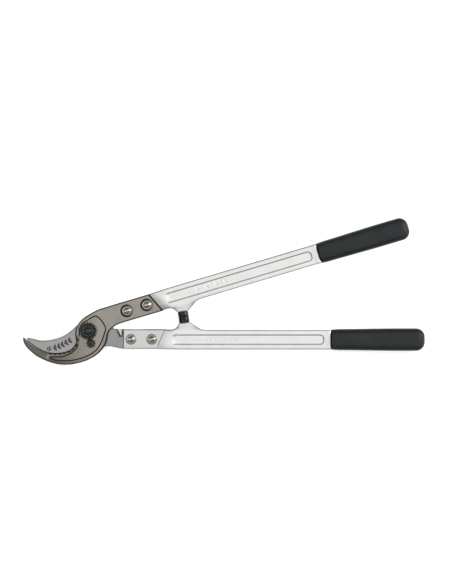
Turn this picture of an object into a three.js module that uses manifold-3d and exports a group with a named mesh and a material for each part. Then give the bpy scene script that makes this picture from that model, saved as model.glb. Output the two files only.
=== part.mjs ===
// Bypass loppers with forged aluminium handles, closed, in millimetres.
// The origin is on the pivot axis in the plane the tool lies on. +X runs along the centre line
// towards the grips, +Y towards the handle of the hook, and +Z up through the pivot bolt.
import * as THREE from "three";
import { mergeVertices } from "three/addons/utils/BufferGeometryUtils.js";
import Module from "manifold-3d";

const wasm = await Module();
wasm.setup();

// ---------------------------------------------------------------- driving dimensions
const GAP = 0.3; // between neighbouring pieces
const FAR = 60; // how far a cutter reaches past what it cuts
const HANDLE_ANGLE = THREE.MathUtils.degToRad(8.285); // of each handle to the centre line
const MID = 13; // height of the sliding plane between cutting blade and hook

const BLADE_BOTTOM = 7.4;
const BLADE_TOP = 12.85;
const HOOK_BOTTOM = 13.15;
const HOOK_TOP = 19.2;
const PLATEAU_TOP = 20.7; // raised land of the hook, round the pivot and along the jaw

const ARM_INNER = -2.9; // edges of both arms, measured across the handle from the pivot
const ARM_OUTER = 27.8;
const PAD_START = 54; // near end of the aluminium pad under each arm
const SHOULDER_OUTER = 106; // the slanted shoulder that the arm plates butt against
const SHOULDER_INNER = 119.7;
const SCREW_STATIONS = [66, 98]; // along the handle
const SCREW_ACROSS = 12.8;
const SCREW_RADIUS = 4;
const SCREW_HEAD_RADIUS = 7.4;
const COUNTERBORE_RADIUS = 9.9; // in the steel arm of the hook
const SPOTFACE_RADIUS = 7.8; // in the aluminium pad

const BODY_INNER = -2.2;
const BODY_OUTER = 28.8;
const BODY_CENTRE = (BODY_INNER + BODY_OUTER) / 2;
const BODY_HALF = 9.5; // half thickness
const BODY_END = 374.2;
const BODY_ROUND = 2.4; // of its long edges
const NECK_DROP = 2.6; // how far the body slopes down to the shoulder on the steel's side
const NECK_LENGTH = 13; // of that slope, square to the shoulder
const PAD_FACE = 0.15; // the pad's steel side, below the sliding plane
const PAD_BACK = 8;
const PANEL_START = 128;
const PANEL_RUNOUT = 14; // length over which the panel's floor rises to the surface
const PANEL_END = 363.8;
const PANEL_WIDTH = 15.7;
const PANEL_DEPTH = 2.5;
const PANEL_CORNER = 5;
const LUG_HALF = 8; // half thickness

const GRIP_START = 374.5;
const GRIP_END = 519.3;
const GRIP_HALF = 13; // half thickness, so that the grips touch the bench
const GRIP_MOUTH_HALF = 16.3; // half widths
const GRIP_BELLY_HALF = 17.4;
const GRIP_ROUND = 7;
const GRIP_CORNER = 13.5; // at the closed end, seen from above
const CORE_END = 504; // end of the aluminium tongue inside the grip
const CORE_HALF_WIDTH = 12.3;
const CORE_HALF = 7.3;

const BUMPER_X = 148.7;
const BUMPER_RADIUS = 8.1;
const BUMPER_TOP = 7.75;
const LUG_FACE = 8.05;
const STEM_RADIUS = 3.2;
const STEM_LENGTH = 5.2;

const BOLT_RADIUS = 4.9;
const BOLT_HEAD_TOP = 4.7;
const BOLT_HEAD_RADIUS = 9.8; // over the corners of the hexagon
const BUSH_RADIUS = 7;
const WASHER_RADIUS = 11;
const SPRING_RADIUS = 9.4;
const SPRING_THICKNESS = 1.3;
const GEAR_MODULE = 1.3;
const NUT_TEETH = 20;
const NUT_ROOT = 11.45;
const NUT_TIP = 14;
const PINION_TEETH = 10;
const PINION_ROOT = 5.1;
const PINION_TIP = 7.6;
const PINION_HUB = 4.4;
const PRESSURE_ANGLE = THREE.MathUtils.degToRad(25);
const BACKLASH = 0.34;
const GEAR_DISTANCE = (GEAR_MODULE * (NUT_TEETH + PINION_TEETH)) / 2;
const PINION_DIRECTION = THREE.MathUtils.degToRad(-85.6);
const GEAR_BOTTOM = 22.1;
const GEAR_TOP = 25.7;

// ---------------------------------------------------------------- materials
function finish(colour, roughness, metalness) {
  return new THREE.MeshStandardMaterial({ color: colour, roughness, metalness });
}
const hookSteel = finish(0x9b958c, 0.42, 0.9);
const bladeSteel = finish(0xa4a4a2, 0.35, 0.95);
const aluminium = finish(0xdfe0de, 0.45, 0.85);
const gripPlastic = finish(0x35393a, 0.6, 0);
const rubber = finish(0x232325, 0.7, 0);
const blackSteel = finish(0x2b2d2a, 0.4, 0.8);
const brightSteel = finish(0xc9c7c2, 0.25, 1);

// ---------------------------------------------------------------- solids
// A closed three.js geometry as a solid that can be joined and cut.
function solid(geometry) {
  geometry.deleteAttribute("normal");
  geometry.deleteAttribute("uv");
  const merged = mergeVertices(geometry, 1e-4);
  return new wasm.Manifold(
    new wasm.Mesh({
      numProp: 3,
      vertProperties: new Float32Array(merged.attributes.position.array),
      triVerts: new Uint32Array(merged.index.array),
    }),
  );
}

// A plate of the given outline between two heights. A bevel spreads the outline by its width
// between the two faces, over its height.
function plate(shape, bottom, top, bevel = {}) {
  const { width = 0, height = 0, steps = 1, inset = 0, curve = 3 } = bevel;
  const geometry = new THREE.ExtrudeGeometry(shape, {
    depth: top - bottom - 2 * height,
    curveSegments: curve,
    bevelEnabled: height > 0,
    bevelThickness: height,
    bevelSize: width,
    bevelOffset: -inset,
    bevelSegments: steps,
  });
  return solid(geometry.translate(0, 0, bottom + height));
}

// A turned piece about the Z axis, from a closed profile of [radius, height] points that goes
// up on the outside.
function turned(profile, segments = 32) {
  const points = profile.map(([r, z]) => new THREE.Vector2(r, z));
  const closed = [...points, points[0].clone()];
  return solid(new THREE.LatheGeometry(closed, segments).rotateX(Math.PI / 2));
}

function cylinder(radius, bottom, top, segments = 32) {
  const made = new THREE.CylinderGeometry(radius, radius, top - bottom, segments);
  return solid(made.rotateX(Math.PI / 2).translate(0, 0, (bottom + top) / 2));
}

function block(x0, x1, y0, y1, z0, z1) {
  const made = new THREE.BoxGeometry(x1 - x0, y1 - y0, z1 - z0);
  return solid(made.translate((x0 + x1) / 2, (y0 + y1) / 2, (z0 + z1) / 2));
}

// An outline from a start point and runs of points: one point is a straight edge to it, and
// more are a smooth curve through them.
function outline(start, ...runs) {
  const shape = new THREE.Shape().moveTo(...start);
  for (const run of runs) {
    if (run.length === 1) shape.lineTo(...run[0]);
    else shape.splineThru(run.map(([x, y]) => new THREE.Vector2(x, y)));
  }
  return shape;
}

// A point of the hook's arm, given along and across its handle, in the frame of the part.
function arm(along, across) {
  const cos = Math.cos(HANDLE_ANGLE);
  const sin = Math.sin(HANDLE_ANGLE);
  return [along * cos - across * sin, along * sin + across * cos];
}
// The same point of the cutting blade's arm, which mirrors it.
function mirroredArm(along, across) {
  const [x, y] = arm(along, across);
  return [x, -y];
}

const root = new THREE.Group();
function add(name, made, material, parent = root) {
  const data = made.getMesh();
  const geometry = new THREE.BufferGeometry();
  geometry.setAttribute("position", new THREE.BufferAttribute(data.vertProperties, 3));
  geometry.setIndex(new THREE.BufferAttribute(data.triVerts, 1));
  geometry.computeVertexNormals();
  const mesh = new THREE.Mesh(geometry, material);
  mesh.name = name;
  parent.add(mesh);
  return mesh;
}

// ---------------------------------------------------------------- hook (counter-blade)
const THROAT_HEEL = [-20.8, -9];
const HOOK_TIP = [-99.2, 4.2];
const THROAT = [
  [-22.2, -16], [-30, -23.6], [-40, -26.5], [-50, -26.7], [-60, -25.3], [-70, -21.4],
  [-80, -15], [-90, -6.1], HOOK_TIP,
];
const GULLETS = 8;
const GULLET_PITCH = 6.93;
const GULLET_FIRST = 2.6; // from the heel of the throat
const GULLET_RADIUS = 3;
const GULLET_DEPTH = 1.7;
const GRIND_WIDTH = 3.6;
const GRIND_BOTTOM = 14.6;

function hookBlade() {
  const silhouette = outline(
    arm(SHOULDER_OUTER, ARM_OUTER),
    [arm(PAD_START, ARM_OUTER)],
    [[30, 32.2], [22, 31], [12, 27.8], [2, 23.8], [-6, 19.6], [-14, 12.6], [-19.2, 4],
      [-20.6, -3], THROAT_HEEL],
    THROAT,
    [[-100.6, 4.7], [-101.3, 2], [-101, -3], [-98, -10.4], [-94, -16.1], [-86, -25.1],
      [-78, -31.5], [-66, -38.7], [-54, -43.8], [-42, -46.5], [-28, -47.2], [-14, -45.8],
      [-2, -42.7], [8, -38.2], [18, -30.8], [24, -23.5]],
    [[27.2, -17], [29.2, -10], [32, -4.6], [38, -0.4], [46, 3.4], arm(PAD_START, ARM_INNER)],
    [arm(SHOULDER_INNER, ARM_INNER)],
  );
  const plateau = outline(
    [-67, -31],
    [[-55, -32.5], [-45, -33.2], [-35, -31.1], [-27, -27.3], [-20.5, -21.6], [-15.8, -12],
      [-13.9, -3.3], [-11.9, 5.8], [-6.2, 12.8], [1, 15.9], [8, 19], [14.8, 20.8], [20.2, 15.9],
      [25, 7.2], [26.9, -0.4], [23.8, -7.4], [18, -18.7], [9.7, -28.9], [0, -35],
      [-14, -39.8], [-30, -41.6], [-45, -40], [-58, -36.4], [-67, -31]],
  );
  const wall = { width: 1.1, height: 1.5, curve: 2 };
  let made = plate(silhouette, HOOK_BOTTOM, HOOK_TOP).add(
    plate(plateau, PLATEAU_TOP - 6, PLATEAU_TOP, wall),
  );
  // Hollow grind along the inner edge, left thin at the bottom.
  const throat = outline(
    THROAT_HEEL, THROAT, [[-110, 20]], [[-60, 30]], [[-26, 14]], [[-24, -3]],
  );
  const grind = { width: GRIND_WIDTH, height: PLATEAU_TOP - GRIND_BOTTOM, steps: 3 };
  made = made.subtract(plate(throat, GRIND_BOTTOM, GRIND_BOTTOM + 20, grind));
  // Gullets of the serration, which hold a wet branch.
  const edge = new THREE.SplineCurve([THROAT_HEEL, ...THROAT].map((p) => new THREE.Vector2(...p)));
  for (let k = 0; k < GULLETS; k++) {
    const where = (GULLET_FIRST + k * GULLET_PITCH) / edge.getLength();
    const point = edge.getPointAt(where);
    const along = edge.getTangentAt(where);
    const out = GULLET_RADIUS - GULLET_DEPTH;
    const cutter = cylinder(GULLET_RADIUS, HOOK_BOTTOM - 1, PLATEAU_TOP + 1, 12);
    made = made.subtract(cutter.translate([point.x - along.y * out, point.y + along.x * out, 0]));
  }
  for (const station of SCREW_STATIONS) {
    const [x, y] = arm(station, SCREW_ACROSS);
    const bore = cylinder(SCREW_RADIUS + GAP, HOOK_BOTTOM - 1, HOOK_TOP + 1, 24);
    const counterbore = cylinder(COUNTERBORE_RADIUS, HOOK_SEAT, HOOK_TOP + 1, 28);
    made = made.subtract(bore.add(counterbore).translate([x, y, 0]));
  }
  // Cut square to the slanted shoulder, GAP short of the aluminium.
  made = made.subtract(shoulderCutter(HOOK_BOTTOM - 1, HOOK_TOP + 1, -GAP / 2, arm));
  const pinionHole = cylinder(PINION_SCREW_RADIUS + GAP, HOOK_BOTTOM - 1, PLATEAU_TOP + 1, 20);
  return made
    .subtract(cylinder(BUSH_RADIUS + GAP, HOOK_BOTTOM - 1, PLATEAU_TOP + 1, 40))
    .subtract(pinionHole.translate([...PINION_CENTRE, 0]));
}

// Everything past the slanted shoulder line, shifted along the handle.
function shoulderCutter(bottom, top, shift, place) {
  const lean = (SHOULDER_INNER - SHOULDER_OUTER) / (ARM_OUTER - ARM_INNER);
  const high = ARM_OUTER + FAR;
  const low = ARM_INNER - FAR;
  const shape = outline(
    place(SHOULDER_OUTER - lean * FAR + shift, high),
    [place(SHOULDER_INNER + lean * FAR + shift, low)],
    [place(SHOULDER_INNER + 3 * FAR, low)],
    [place(SHOULDER_INNER + 3 * FAR, high)],
  );
  return plate(shape, bottom, top);
}

// ---------------------------------------------------------------- cutting blade
const BLADE_TIP = [-96, 3.4];
const BLADE_HEEL = [-20, -19.6];
const CUTTING_EDGE = [
  [-27, -26.4], [-36, -30.2], [-47, -31.4], [-58, -30.3], [-68, -26.8], [-78, -20.9],
  [-87, -12.6], [-93, -3.6], BLADE_TIP,
];
const BEVEL_WIDTH = 9;
const EDGE_LAND = 0.4;
const POCKET_DEPTH = 2.6;

function cuttingBlade() {
  const silhouette = outline(
    BLADE_TIP,
    [[-90, 2], [-82, -1.3], [-74, -4], [-62, -5.2], [-50, -4.4], [-42, -2.8], [-34, 0.1],
      [-26, 4.4], [-17, 10.4], [-8, 14.6], [2, 15.6], [12, 12.6], [20, 6.6], [30, 2.2],
      [37.6, 0.4]],
    [[40.8, -2.6], [46, -3.5], mirroredArm(PAD_START, ARM_INNER)],
    [mirroredArm(SHOULDER_INNER, ARM_INNER)],
    [mirroredArm(SHOULDER_OUTER, ARM_OUTER)],
    [mirroredArm(PAD_START, ARM_OUTER)],
    [[42, -32.6], [34, -29.5], [27, -27.6], [20, -27.6], [8, -24.2], [-8, -20.4], BLADE_HEEL],
    CUTTING_EDGE,
  );
  let made = plate(silhouette, BLADE_BOTTOM, BLADE_TOP);
  // The ground bevel is on the side away from the hook.
  const outside = outline(
    BLADE_HEEL, CUTTING_EDGE, [[-110, 12]], [[-130, -20]], [[-60, -70]], [[-19, -60]],
  );
  const brink = BLADE_TOP - EDGE_LAND;
  const height = brink - BLADE_BOTTOM;
  const bevel = { width: BEVEL_WIDTH, height };
  made = made.subtract(plate(outside, brink - 3 * height, brink, bevel));
  const pocket = outline(
    [43.8, -2], [[46.6, -12.6]], [[47.3, -14.5], [48.6, -15.1], [50.2, -15], [51, -13]],
    [[53.4, -2]],
  );
  made = made.subtract(plate(pocket, BLADE_TOP - POCKET_DEPTH, BLADE_TOP + 1));
  for (const station of SCREW_STATIONS) {
    const [x, y] = mirroredArm(station, SCREW_ACROSS);
    const bore = cylinder(SCREW_RADIUS + GAP, BLADE_BOTTOM - 1, BLADE_TOP + 1, 24);
    made = made.subtract(bore.translate([x, y, 0]));
  }
  return made
    .subtract(shoulderCutter(BLADE_BOTTOM - 1, BLADE_TOP + 1, -GAP / 2, mirroredArm))
    .subtract(cylinder(BUSH_RADIUS + GAP, BLADE_BOTTOM - 1, BLADE_TOP + 1, 40));
}

// ---------------------------------------------------------------- handle, grip and bumper
// Made in the frame of one handle: X along it, Y across it and away from the pivot, Z up from
// the sliding plane. The pad is below that plane. The other handle is the same forging turned over.
function handleForging() {
  const body = outline(
    [PAD_START, ARM_INNER],
    [[104, ARM_INNER]],
    [[112, ARM_INNER + 0.1], [126, BODY_INNER]],
    [[BODY_END, BODY_INNER]],
    [[BODY_END, BODY_OUTER]],
    [[140, BODY_OUTER]],
    [[124, BODY_OUTER - 0.2], [104, ARM_OUTER]],
    [[PAD_START, ARM_OUTER]],
  );
  const edge = { width: BODY_ROUND, height: BODY_ROUND, inset: BODY_ROUND, steps: 2, curve: 2 };
  let made = plate(body, -BODY_HALF, BODY_HALF, edge);
  made = made.subtract(endTrim(-1, PAD_START + BODY_ROUND));
  made = made.subtract(endTrim(1, BODY_END - BODY_ROUND));
  const lug = outline(
    [124, 2],
    [[130, -2.4], [134.4, -4], [138, -8.2], toHandle(140.4, LUG_FACE)],
    [toHandle(157, LUG_FACE)],
    [[165.4, -8.9], [171, -5.2], [177, -2.6], [184, 2]],
  );
  made = made.add(plate(lug, -LUG_HALF, LUG_HALF));
  // The arm plate lies on the pad, against the shoulder, and the pad is thinner than the body.
  const everything = block(0, 250, -FAR, FAR, -FAR, FAR);
  const pastShoulder = shoulderCutter(-2 * FAR, 2 * FAR, GAP / 2, (x, y) => [x, y]);
  const beforeShoulder = everything.subtract(pastShoulder);
  const steelSide = block(0, 250, -FAR, FAR, -PAD_FACE, FAR);
  const backSide = block(0, 250, -FAR, FAR, -FAR, -PAD_BACK);
  made = made.subtract(beforeShoulder.intersect(steelSide.add(backSide))).subtract(neckCutter());
  // Both faces are panelled between two rims.
  const panel = panelCutter();
  made = made.subtract(panel).subtract(panel.rotate([180, 0, 0]).translate([0, 2 * BODY_CENTRE, 0]));
  // A tongue carries the grip.
  made = made.add(
    block(BODY_END - 5, CORE_END, BODY_CENTRE - CORE_HALF_WIDTH, BODY_CENTRE + CORE_HALF_WIDTH,
      -CORE_HALF, CORE_HALF),
  );
  for (const station of SCREW_STATIONS) {
    const bore = cylinder(SCREW_RADIUS + GAP, -FAR, FAR, 24);
    const spotface = cylinder(SPOTFACE_RADIUS, -FAR, SPOTFACE_LEVEL);
    made = made.subtract(bore.add(spotface).translate([station, SCREW_ACROSS, 0]));
  }
  const socket = cylinder(STEM_RADIUS + GAP, LUG_FACE - 4, LUG_FACE + STEM_LENGTH + GAP, 20);
  return made.subtract(toLugFrame(socket));
}

// Slopes the body down to the shoulder, on the side of the steel arm.
function neckCutter() {
  const lean = Math.atan2(SHOULDER_INNER - SHOULDER_OUTER, ARM_OUTER - ARM_INNER);
  const slope = THREE.MathUtils.radToDeg(Math.atan2(NECK_DROP, NECK_LENGTH));
  const cutter = block(-NECK_LENGTH - BODY_HALF, 0, -FAR, FAR, 0, BODY_HALF);
  const start = SHOULDER_OUTER + NECK_LENGTH / Math.cos(lean);
  return cutter
    .rotate([0, -slope, 0])
    .rotate([0, 0, THREE.MathUtils.radToDeg(lean)])
    .translate([start, ARM_OUTER, BODY_HALF]);
}

// Cuts the bevelled ends of the body square: before or past the given place along the handle.
function endTrim(side, place) {
  const far = place + side * 12;
  return block(Math.min(place, far), Math.max(place, far), -FAR, FAR, -FAR, FAR);
}

// Frame of the part to the frame of the handle.
function toHandle(x, y) {
  const cos = Math.cos(HANDLE_ANGLE);
  const sin = Math.sin(HANDLE_ANGLE);
  return [x * cos + y * sin, y * cos - x * sin];
}

// A piece turned about Z and given as heights above the centre line, placed on the lug.
function toLugFrame(made) {
  const [x, y] = toHandle(BUMPER_X, 0);
  const angle = -THREE.MathUtils.radToDeg(HANDLE_ANGLE);
  return made.rotate([-90, 0, 0]).rotate([0, 0, angle]).translate([x, y, 0]);
}

function panelCutter() {
  const half = PANEL_WIDTH / 2;
  const [low, high] = [BODY_CENTRE - half, BODY_CENTRE + half];
  const bend = PANEL_END - PANEL_CORNER;
  const plan = new THREE.Shape()
    .moveTo(PANEL_START, low)
    .lineTo(bend, low)
    .absarc(bend, low + PANEL_CORNER, PANEL_CORNER, -Math.PI / 2, 0, false)
    .absarc(bend, high - PANEL_CORNER, PANEL_CORNER, 0, Math.PI / 2, false)
    .lineTo(PANEL_START, high);
  // Side view of the floor, which rises gently to the surface at the pivot end.
  const floor = BODY_HALF - PANEL_DEPTH;
  const side = outline(
    [PANEL_START, BODY_HALF],
    [[PANEL_START + PANEL_RUNOUT * 0.4, BODY_HALF - 0.35 * PANEL_DEPTH],
      [PANEL_START + PANEL_RUNOUT, floor]],
    [[PANEL_END + 5, floor]],
    [[PANEL_END + 5, BODY_HALF + 5]],
    [[PANEL_START, BODY_HALF + 5]],
  );
  const profile = new THREE.ExtrudeGeometry(side, {
    depth: 2 * FAR, bevelEnabled: false, curveSegments: 2,
  });
  const across = solid(profile.rotateX(Math.PI / 2).translate(0, FAR, 0));
  return plate(plan, 0, BODY_HALF + 5).intersect(across);
}

function gripSleeve() {
  const start = GRIP_START - 20; // cut off again, so that the mouth is square
  const [mouth, belly] = [GRIP_MOUTH_HALF, GRIP_BELLY_HALF];
  const end = belly - 0.4;
  const bend = GRIP_END - GRIP_CORNER;
  const shape = new THREE.Shape();
  shape.moveTo(start, BODY_CENTRE - mouth);
  shape.lineTo(GRIP_START, BODY_CENTRE - mouth);
  shape.splineThru([
    new THREE.Vector2(GRIP_START + 45, BODY_CENTRE - mouth - 0.7),
    new THREE.Vector2(GRIP_START + 100, BODY_CENTRE - belly),
    new THREE.Vector2(bend, BODY_CENTRE - end),
  ]);
  shape.absarc(bend, BODY_CENTRE - end + GRIP_CORNER, GRIP_CORNER, -Math.PI / 2, 0, false);
  shape.absarc(bend, BODY_CENTRE + end - GRIP_CORNER, GRIP_CORNER, 0, Math.PI / 2, false);
  shape.splineThru([
    new THREE.Vector2(GRIP_START + 100, BODY_CENTRE + belly),
    new THREE.Vector2(GRIP_START + 45, BODY_CENTRE + mouth + 0.7),
    new THREE.Vector2(GRIP_START, BODY_CENTRE + mouth),
  ]);
  shape.lineTo(start, BODY_CENTRE + mouth);
  const round = { width: GRIP_ROUND, height: GRIP_ROUND, inset: GRIP_ROUND, steps: 4 };
  const sleeve = plate(shape, -GRIP_HALF, GRIP_HALF, round);
  const [wide, high] = [CORE_HALF_WIDTH + GAP, CORE_HALF + GAP];
  const outside = start - GRIP_ROUND - 1;
  const bore = block(outside, CORE_END + GAP, BODY_CENTRE - wide, BODY_CENTRE + wide, -high, high);
  return sleeve.subtract(bore).subtract(block(outside, GRIP_START, -FAR, FAR, -FAR, FAR));
}

// A rubber buffer: turned about Z here, with the centre line at height 0.
function bumper() {
  const [r, top] = [BUMPER_RADIUS, BUMPER_TOP];
  const profile = [
    [0, GAP / 2], [r - 0.8, GAP / 2], [r, GAP / 2 + 0.8], [r, top - 0.5], [r - 0.5, top],
    [STEM_RADIUS, top], [STEM_RADIUS, LUG_FACE + STEM_LENGTH], [0, LUG_FACE + STEM_LENGTH],
  ];
  return toLugFrame(turned(profile, 24));
}

// ---------------------------------------------------------------- fasteners
const HEAD_HEIGHT = 4.2;
const HOOK_SEAT = 15.2; // bottom of the counterbores in the hook's arm
const SPOTFACE_LEVEL = -PAD_BACK + 2.4; // in the frame of the handle, pad side down
const CAP_HEIGHT = 3.8;
const CAP_RADIUS = 7.2;

// A domed head over a plain shank, its seat at height 0.
function handleScrew(length) {
  const r = SCREW_HEAD_RADIUS;
  const profile = [
    [0, -length], [SCREW_RADIUS - 0.6, -length], [SCREW_RADIUS, -length + 0.6], [SCREW_RADIUS, GAP],
    [r, GAP], [r, 1.7], [r * 0.86, 2.9], [r * 0.6, 3.7], [r * 0.3, HEAD_HEIGHT - 0.1],
    [0, HEAD_HEIGHT],
  ];
  return turned(profile, 20);
}

// A low domed nut with a blind hole, its seat at height 0 and its dome downwards.
function capNut() {
  const [r, hole] = [CAP_RADIUS, SCREW_RADIUS + GAP];
  const profile = [
    [0, -CAP_HEIGHT], [r * 0.5, -CAP_HEIGHT + 0.3], [r * 0.84, -CAP_HEIGHT + 1.1], [r, -1.8],
    [r, -GAP], [hole, -GAP], [hole, -CAP_HEIGHT + 1.3], [0, -CAP_HEIGHT + 1.3],
  ];
  return turned(profile, 20);
}

// ---------------------------------------------------------------- pivot
const PINION_CENTRE = [
  GEAR_DISTANCE * Math.cos(PINION_DIRECTION),
  GEAR_DISTANCE * Math.sin(PINION_DIRECTION),
];
const PINION_SCREW_RADIUS = 2;
const PINION_HEAD_RADIUS = 3.7;
const COLLAR_TOP = 27.2;
const COLLAR_RADIUS = 7.9;
const RECESS_RADIUS = 6.5; // over the corners of the hexagonal recess
const RECESS_FLOOR = 24.6;
const CONE_RADIUS = 11.2; // foot of the cone between the teeth and the collar
const CONE_HEIGHT = 0.8;
const BOLT_TOP = 28;
const DEG_30 = Math.PI / 6;

// Involute half thickness of a tooth as an angle, at a radius.
function toothHalfAngle(teeth, radius) {
  const pitch = (GEAR_MODULE * teeth) / 2;
  const involute = (angle) => Math.tan(angle) - angle;
  const base = pitch * Math.cos(PRESSURE_ANGLE);
  const pressure = Math.acos(Math.min(1, base / Math.max(radius, base)));
  const atPitch = (Math.PI * GEAR_MODULE - BACKLASH) / (4 * pitch);
  return atPitch + involute(PRESSURE_ANGLE) - involute(pressure);
}

// A spur gear whose first tooth points in the given direction.
function gear(teeth, rootRadius, tipRadius, direction) {
  const shape = new THREE.Shape();
  const steps = 3;
  for (let k = 0; k < teeth; k++) {
    const centre = direction + (2 * Math.PI * k) / teeth;
    const flank = [];
    for (let i = 0; i <= steps; i++) {
      const radius = rootRadius + ((tipRadius - rootRadius) * i) / steps;
      flank.push([radius, toothHalfAngle(teeth, radius)]);
    }
    const rising = flank.map(([r, half]) => [r, centre - half]);
    const falling = flank.map(([r, half]) => [r, centre + half]).reverse();
    for (const [r, angle] of [...rising, ...falling]) {
      const point = [r * Math.cos(angle), r * Math.sin(angle)];
      if (k === 0 && r === rootRadius && angle < centre) shape.moveTo(...point);
      else shape.lineTo(...point);
    }
  }
  return plate(shape, GEAR_BOTTOM, GEAR_TOP);
}

function hexagon(radius, bottom, top) {
  const made = new THREE.CylinderGeometry(radius, radius, top - bottom, 6);
  return solid(made.rotateX(Math.PI / 2).rotateZ(DEG_30).translate(0, 0, (bottom + top) / 2));
}

function pivotBolt() {
  const [r, top] = [BOLT_RADIUS, BOLT_TOP];
  const shank = turned([
    [0, 1], [r, 1], [r, top - 1.6], [r * 0.86, top - 0.9], [r * 0.5, top - 0.2], [0, top],
  ]);
  return hexagon(BOLT_HEAD_RADIUS, 0, BOLT_HEAD_TOP).add(shank);
}

function adjustingNut() {
  const space = PINION_DIRECTION + Math.PI / NUT_TEETH;
  const toothed = gear(NUT_TEETH, NUT_ROOT, NUT_TIP, space);
  const collar = turned([
    [0, GEAR_BOTTOM + 1], [CONE_RADIUS, GEAR_BOTTOM + 1], [CONE_RADIUS, GEAR_TOP],
    [COLLAR_RADIUS, GEAR_TOP + CONE_HEIGHT], [COLLAR_RADIUS - 0.4, COLLAR_TOP], [0, COLLAR_TOP],
  ], 40);
  return toothed
    .add(collar)
    .subtract(hexagon(RECESS_RADIUS, RECESS_FLOOR, COLLAR_TOP + 1))
    .subtract(cylinder(BOLT_RADIUS + GAP, GEAR_BOTTOM - 1, COLLAR_TOP + 1));
}

function lockPinion() {
  const toothed = gear(PINION_TEETH, PINION_ROOT, PINION_TIP, PINION_DIRECTION + Math.PI);
  const hub = cylinder(PINION_HUB, PLATEAU_TOP + GAP, GEAR_TOP, 24);
  const hole = cylinder(PINION_SCREW_RADIUS + GAP, PLATEAU_TOP - 1, GEAR_TOP + 1, 20);
  return toothed.add(hub).subtract(hole).translate([...PINION_CENTRE, 0]);
}

function pinionScrew() {
  const [r, seat, head] = [PINION_SCREW_RADIUS, GEAR_TOP + GAP, PINION_HEAD_RADIUS];
  const made = turned([
    [0, HOOK_BOTTOM + 0.6], [r, HOOK_BOTTOM + 0.6], [r, seat], [head, seat], [head, seat + 0.9],
    [head * 0.8, seat + 1.7], [head * 0.45, seat + 2.1], [0, seat + 2.2],
  ], 24);
  const socket = hexagon(1.7, seat + 0.7, seat + 4);
  return made.subtract(socket).translate([...PINION_CENTRE, 0]);
}

// A ring round the bolt.
function ring(outer, bottom, top) {
  const inner = BOLT_RADIUS + GAP;
  return turned([[inner, bottom], [outer, bottom], [outer, top], [inner, top]], 36);
}

// A coned washer: its outer edge rests on the bolt head and its inner edge bears on the blade.
function discSpring() {
  const [bottom, top] = [BOLT_HEAD_TOP + GAP, BLADE_BOTTOM - GAP];
  const [inner, outer, thick] = [BOLT_RADIUS + 0.5, SPRING_RADIUS, SPRING_THICKNESS];
  return turned([[inner, top - thick], [outer, bottom], [outer, bottom + thick], [inner, top]], 36);
}

// ---------------------------------------------------------------- assembly
add("hook_blade", hookBlade(), hookSteel);
add("cutting_blade", cuttingBlade(), bladeSteel);

// Each lever: a frame on the sliding plane, turned over for the lever of the cutting blade.
const LEVERS = [
  { prefix: "hook", over: 0, seat: HOOK_SEAT - MID, back: -PAD_BACK },
  { prefix: "blade", over: Math.PI, seat: -SPOTFACE_LEVEL, back: BLADE_BOTTOM - MID },
];
for (const { prefix, over, seat, back } of LEVERS) {
  const lever = new THREE.Group();
  lever.position.z = MID;
  lever.rotation.x = over;
  root.add(lever);
  const along = new THREE.Group();
  along.rotation.z = HANDLE_ANGLE;
  lever.add(along);
  add(`${prefix}_handle`, handleForging(), aluminium, along);
  add(`${prefix}_grip`, gripSleeve(), gripPlastic, along);
  add(`${prefix}_bumper`, bumper(), rubber, along);
  // The screws go in from above on both levers, so they stay upright whichever way it is turned.
  ["front", "rear"].forEach((place, k) => {
    const upright = new THREE.Group();
    upright.position.set(SCREW_STATIONS[k], SCREW_ACROSS, 0);
    upright.rotation.x = over;
    along.add(upright);
    const screw = add(`${prefix}_screw_${place}`, handleScrew(seat - back + 2.2), brightSteel, upright);
    screw.position.z = seat;
    const nut = add(`${prefix}_nut_${place}`, capNut(), brightSteel, upright);
    nut.position.z = back;
  });
}

add("pivot_bolt", pivotBolt(), blackSteel);
add("disc_spring", discSpring(), brightSteel);
add("pivot_bush", ring(BUSH_RADIUS, BLADE_BOTTOM, PLATEAU_TOP - GAP), brightSteel);
add("nut_washer", ring(WASHER_RADIUS, PLATEAU_TOP + GAP, GEAR_BOTTOM - GAP), brightSteel);
add("adjusting_nut", adjustingNut(), blackSteel);
add("lock_pinion", lockPinion(), blackSteel);
add("pinion_screw", pinionScrew(), blackSteel);

export default root;
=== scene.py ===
"""Looks of the bypass loppers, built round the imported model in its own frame.

Shapes are worked out in millimetres and turned into metres when their mesh is made. A handle is
shaped in its own frame: s along it, t across it and away from the pivot, w up from the sliding
plane. The handle of the cutting blade is the same forging turned over about the centre line.
"""

import functools
import math

import bpy
import numpy as np
from mathutils import Matrix, Vector
from mathutils.geometry import delaunay_2d_cdt


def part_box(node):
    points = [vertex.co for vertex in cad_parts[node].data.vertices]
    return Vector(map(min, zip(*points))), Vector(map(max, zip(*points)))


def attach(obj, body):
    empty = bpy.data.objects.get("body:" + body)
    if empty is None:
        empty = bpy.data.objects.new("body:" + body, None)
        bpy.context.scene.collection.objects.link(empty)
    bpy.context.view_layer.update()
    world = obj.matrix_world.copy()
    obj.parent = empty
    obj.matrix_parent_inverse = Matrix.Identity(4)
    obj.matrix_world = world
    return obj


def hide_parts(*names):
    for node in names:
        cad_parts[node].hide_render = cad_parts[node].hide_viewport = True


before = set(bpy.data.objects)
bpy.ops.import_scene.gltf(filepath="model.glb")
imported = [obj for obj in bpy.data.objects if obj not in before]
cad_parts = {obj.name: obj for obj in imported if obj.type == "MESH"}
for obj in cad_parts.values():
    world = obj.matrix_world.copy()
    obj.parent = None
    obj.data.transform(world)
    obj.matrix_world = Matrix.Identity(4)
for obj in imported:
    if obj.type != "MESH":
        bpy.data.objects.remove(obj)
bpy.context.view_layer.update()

MM = 0.001
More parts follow.
